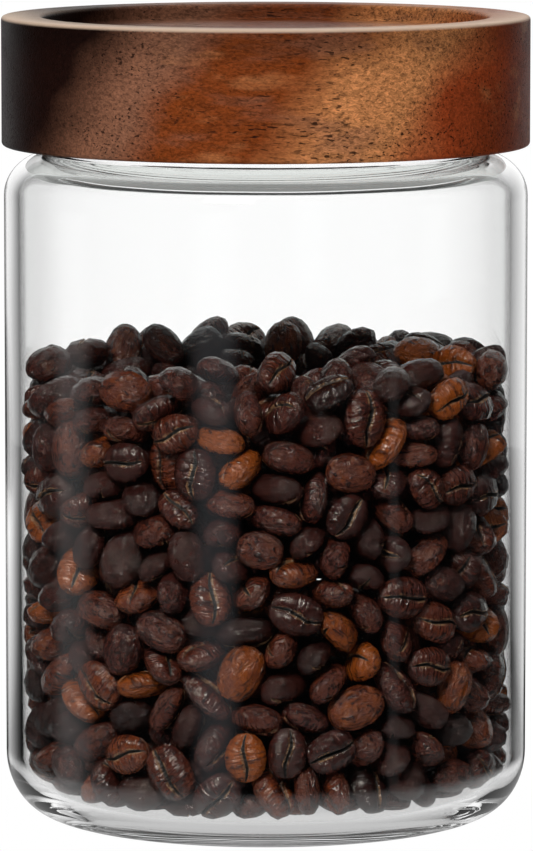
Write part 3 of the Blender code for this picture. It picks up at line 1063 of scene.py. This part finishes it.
class CANISTER_OT_coffee_beans(bpy.types.Operator):
    """Let roasted coffee beans fall into the jar and settle"""

    bl_idname = "canister.coffee_beans"
    bl_label = "Coffee Beans"

    def execute(self, context):
        sizes, jar = context.scene.canister_beans, context.scene.canister_jar
        rng = np.random.default_rng(sizes.seed)
        count = sizes.count
        middling = np.array([sizes.long, sizes.wide, sizes.thick]) * 1000 / 2
        half = middling * rng.normal(1.0, UNEVEN, (count, 3)).clip(0.88, 1.12)
        half *= rng.normal(1.0, UNLIKE, (count, 1)).clip(0.85, 1.15)
        side = (JAR_HIGH.x - jar.wall - sizes.clear) * 1000
        floor = (jar.base + sizes.clear) * 1000
        corner = (jar.heel_rise - jar.base) * 1000 * CORNER_SHARE
        room = (side, floor, corner, sizes.core * 1000, sizes.core_low * 1000, sizes.core_high * 1000)
        centres, turns = settle(half, room, rng)
        reach = np.linalg.norm(centres[:, :2], axis=1) / side
        kept = centres[:, 2] < (sizes.fill + sizes.dome * (1.0 - reach**2)) * 1000
        centres, turns, half = centres[kept], turns[kept], half[kept]
        count = len(centres)
        outward = centres * (1.0, 1.0, 0.0) / np.linalg.norm(centres[:, :2], axis=1, keepdims=True)
        backed = (turns[:, :, 2] * outward).sum(1) > 0
        flipped = backed == (rng.random(count) < BELLIES_OUT)
        turns[flipped, :, 1:] *= -1.0
        points = bpy.data.meshes.new("bean_places")
        points.from_pydata((centres / 1000).tolist(), [], [])
        eulers = [Matrix(turn).to_euler()[:] for turn in turns.tolist()]
        roast = rng.beta(4.0, 3.4, count) * 0.90
        roast = np.where(rng.random(count) < PALE_BEANS, rng.uniform(0.85, 1.1, count), roast)
        for name, kind, key, values in (
            ("turn", "FLOAT_VECTOR", "vector", np.array(eulers)),
            ("size", "FLOAT_VECTOR", "vector", half / 1000),
            ("roast", "FLOAT", "value", roast),
            ("kind", "INT", "value", rng.integers(0, 3, count)),
        ):
            points.attributes.new(name, kind, "POINT").data.foreach_set(key, values.ravel())
        start = set_down("bean_places", points)
        shapes = [bean_shape(f"bean_{i}", bend, full) for i, (bend, full) in enumerate(BEAN_SHAPES)]
        beans = grown("coffee_beans", start, scatter_tree(shapes), Material=roasted(sizes))
        for shape in shapes:
            bpy.data.objects.remove(shape)
        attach(beans, "jar")
        return {"FINISHED"}


BELLIES_OUT = 0.58  # share of the beans that lie with the crease toward the glass
PALE_BEANS = 0.06  # share of lightly roasted ones
UNEVEN, UNLIKE = 0.05, 0.06  # spread of each bean's shape, and of its size
CORNER_SHARE = 0.93  # radius of the corner that the beans meet inside the heel, as a share of its height
BEAN_SHAPES = ((0.16, 0.80), (-0.13, 0.90), (0.08, 0.72))  # sway of the crease, and how full the ends are


# --- Stage ---


def off_back(tree, parts):
    """Angle round Z, away from straight behind the jar."""
    return maths(tree, "ABSOLUTE", maths(tree, "ARCTAN2", parts[0], parts[1]))


def backdrop_group():
    """How bright the white backdrop is, toward a place. Light that the glass reflects sees it fall off."""
    made = bpy.data.node_groups.get("Backdrop")
    if made:
        return made
    inputs = {"Place": ("Vector", None), "Reflected": ("Float", 0.0)}
    tree, given, result = group("Backdrop", "ShaderNodeTree", inputs, {"Brightness": "Float"})
    turn = off_back(tree, split(tree, given.outputs["Place"]))
    falling = between(tree, turn, 0.0, BACKDROP_END, BACKDROP_WHITE, 0.0, kind="LINEAR")
    reflected = maths(tree, "GREATER_THAN", given.outputs["Reflected"], 0.5)
    join(tree, result.inputs[0], mixed_value(tree, reflected, BACKDROP_WHITE, falling))
    return tree


BACKDROP_WHITE = 1.15  # makes up for what the glass keeps back
BACKDROP_END = math.radians(44)  # from straight behind to where reflections find none of it


def backdrop(tree, place, path):
    node = put(tree, "ShaderNodeGroup", node_tree=backdrop_group())
    return feed(tree, node, place, path.outputs["Glossy Depth"])


def studio_world():
    """White behind the object, and dim round it. What is seen through clear glass stays white.

    A narrow dark strip straight behind the jar, below the horizon, draws the thin dark line at the edges
    of the glass.
    """
    world = bpy.data.worlds.new("Studio")
    bpy.context.scene.world = world
    world.use_nodes = True
    tree = world.node_tree
    path = put(tree, "ShaderNodeLightPath")
    way = put(tree, "ShaderNodeTexCoord").outputs["Generated"]
    parts = split(tree, way)
    dim = between(tree, parts[2], 0.0, 1.0, 0.01, 0.20)
    turn = off_back(tree, parts)
    rimmed = most(tree, between(tree, turn, 0.22, 0.36), between(tree, parts[2], -0.04, 0.02))
    behind = times(tree, between(tree, parts[1], 0.70, 0.94), rimmed)
    behind = most(tree, dim, behind)
    strength = mixed_value(tree, path.outputs["Is Glossy Ray"], dim, behind)
    strength = mixed_value(tree, path.outputs["Is Transmission Ray"], strength, backdrop(tree, way, path))
    strength = mixed_value(tree, path.outputs["Is Camera Ray"], strength, 1.0)
    feed(tree, tree.nodes["Background"], (1.0, 1.0, 1.0), strength)


def softbox(name, azimuth, elevation, distance, width, height, strength, shade=(1.0, 1.0, 1.0), soft=0.8):
    """A rectangular light that faces the middle of the jar. Azimuth 0 is the camera's side, 90 is +X.

    Its strength is the panel's radiance, and soft is the share of its width over which the sides fade.
    """
    data = bpy.data.lights.new(name, "AREA")
    data.shape = "RECTANGLE"
    data.size = width
    data.size_y = height
    data.energy = strength * width * height * math.pi
    data.color = shade
    data.use_nodes = True
    tree = data.node_tree
    along = split(tree, put(tree, "ShaderNodeNewGeometry").outputs["Parametric"])[0]
    off = maths(tree, "ABSOLUTE", minus(tree, along, 0.5))
    feed(tree, tree.nodes["Emission"], (1.0, 1.0, 1.0), between(tree, off, 0.5, 0.5 - soft * 0.5))
    light = set_down(name, data)
    turn, rise = math.radians(azimuth), math.radians(elevation)
    way = Vector((math.sin(turn) * math.cos(rise), -math.cos(turn) * math.cos(rise), math.sin(rise)))
    middle = Vector((0.0, 0.0, JAR_HIGH.z / 2))
    light.location = middle + way * distance
    light.rotation_euler = way.to_track_quat("Z", "Y").to_euler()
    light.visible_camera = False
    light.visible_transmission = False


def pale_floor(radius):
    """A plain pale floor that fades into the white behind it. Reflections see only its middle."""
    made, tree, shader = new_material("Pale floor")
    path = put(tree, "ShaderNodeLightPath")
    place = own_place(tree)
    bent = path.outputs["Is Transmission Ray"]
    mirrored = minus(tree, path.outputs["Is Glossy Ray"], bent, clamp=True)
    out = from_middle(tree, place)
    close = between(tree, out, FLOOR_NEAR, FLOOR_FAR, 1.0, 0.0)
    through = most(tree, backdrop(tree, place, path), times(tree, close, FLOOR_GLOW))
    through = times(tree, through, between(tree, out, FLOOR_UNDER, FLOOR_OUT, FLOOR_SHADE, 1.0))
    seen = most(tree, most(tree, path.outputs["Is Camera Ray"], bent), mirrored)
    plain = mixed_value(tree, mirrored, 1.0, FLOOR_MIRRORED)
    strength = mixed_value(tree, bent, plain, through)
    glow = feed(tree, put(tree, "ShaderNodeEmission"), (1.0, 1.0, 1.0), strength)
    feed(tree, shader, Base_Color=(0.8, 0.8, 0.8), Roughness=0.9)
    lit = merged(tree, seen, shader.outputs[0], glow)
    gone = times(tree, mirrored, minus(tree, 1.0, close))
    show(tree, merged(tree, gone, lit, put(tree, "ShaderNodeBsdfTransparent").outputs[0]))
    low, high = FLOOR_LOW, FLOOR_HIGH
    floor = turned("studio_floor", [(0.0, low), (radius, low), (radius, high), (0.0, high)])
    floor.data.materials.append(made)
    return floor


FLOOR_LOW, FLOOR_HIGH = -0.004, -0.0002  # the top lies just under the jar, clear of it
FLOOR_NEAR = 0.058  # radius out to which the glass mirrors the white floor
FLOOR_FAR = 0.085  # and from which it mirrors none of it
FLOOR_GLOW = 0.85  # how bright its middle looks to light that has run round inside the glass
FLOOR_UNDER = 0.0420  # radius out to which the full jar shades the floor under it
FLOOR_OUT = 0.0475  # and from which it doesn't
FLOOR_SHADE = 0.65  # brightness left under the jar
FLOOR_MIRRORED = 0.40  # how bright it looks in the glass from outside


class CANISTER_OT_stage(bpy.types.Operator):
    """Set up the camera, the pale floor and the soft lights"""

    bl_idname = "canister.stage"
    bl_label = "Stage"

    def execute(self, context):
        scene, sizes = context.scene, context.scene.canister_studio
        lens = bpy.data.cameras.new("Camera")
        lens.lens = sizes.lens
        lens.sensor_width = 36.0
        lens.clip_start, lens.clip_end = 0.05, 20.0
        camera = set_down("Camera", lens)
        camera.location = (sizes.aside, -sizes.distance, sizes.height)
        camera.rotation_euler = (math.pi / 2 - sizes.pitch, 0.0, 0.0)
        scene.camera = camera
        scene.view_settings.view_transform = "Standard"
        pale_floor(sizes.floor)
        studio_world()
        # Light runs a long way round inside the glass base
        scene.cycles.max_bounces = 24
        scene.cycles.glossy_bounces = scene.cycles.transmission_bounces = 20
        softbox("Key", -18.0, 42.0, 1.0, 0.32, 0.26, 36.0, (1.0, 0.94, 0.86), 0.4)
        softbox("Left side", -92.0, -22.0, 0.8, 0.42, 0.6, 0.62)
        softbox("Front left", -22.0, -8.0, 1.2, 0.52, 0.62, 0.52, (0.93, 0.95, 1.0))
        softbox("Right side", 56.0, -8.0, 1.0, 0.12, 0.6, 0.18)
        softbox("Top", 175.0, 68.0, 0.9, 0.8, 0.6, 3.0, (1.0, 0.96, 0.90), 0.4)
        return {"FINISHED"}


# --- Add-on ---

OPERATORS = (
    CANISTER_OT_glass_jar,
    CANISTER_OT_wooden_lid,
    CANISTER_OT_silicone_seal,
    CANISTER_OT_coffee_beans,
    CANISTER_OT_stage,
)
SETTINGS = {
    "canister_jar": JarSizes,
    "canister_thread": ThreadSizes,
    "canister_lid": LidSizes,
    "canister_seal": SealSizes,
    "canister_beans": BeanSizes,
    "canister_studio": StudioSizes,
}


class CANISTER_PT_panel(bpy.types.Panel):
    """Every piece of the canister, and the sizes it is made to"""

    bl_label = "Food Canister"
    bl_idname = "CANISTER_PT_panel"
    bl_space_type = "VIEW_3D"
    bl_region_type = "UI"
    bl_category = "Canister"

    def draw(self, context):
        for operator in OPERATORS:
            self.layout.operator(operator.bl_idname)
        for name, kind in SETTINGS.items():
            box = self.layout.box()
            for field in kind.__annotations__:
                box.prop(getattr(context.scene, name), field)


def register():
    for kind in (*SETTINGS.values(), *OPERATORS, CANISTER_PT_panel):
        bpy.utils.register_class(kind)
    for name, kind in SETTINGS.items():
        setattr(bpy.types.Scene, name, PointerProperty(type=kind))


def unregister():
    for name in SETTINGS:
        delattr(bpy.types.Scene, name)
    for kind in (CANISTER_PT_panel, *reversed(OPERATORS), *SETTINGS.values()):
        bpy.utils.unregister_class(kind)


def main():
    register()
    bpy.ops.canister.stage()
    bpy.ops.canister.glass_jar()
    bpy.ops.canister.wooden_lid()
    bpy.ops.canister.silicone_seal()
    bpy.ops.canister.coffee_beans()


if __name__ == "__main__":
    main()
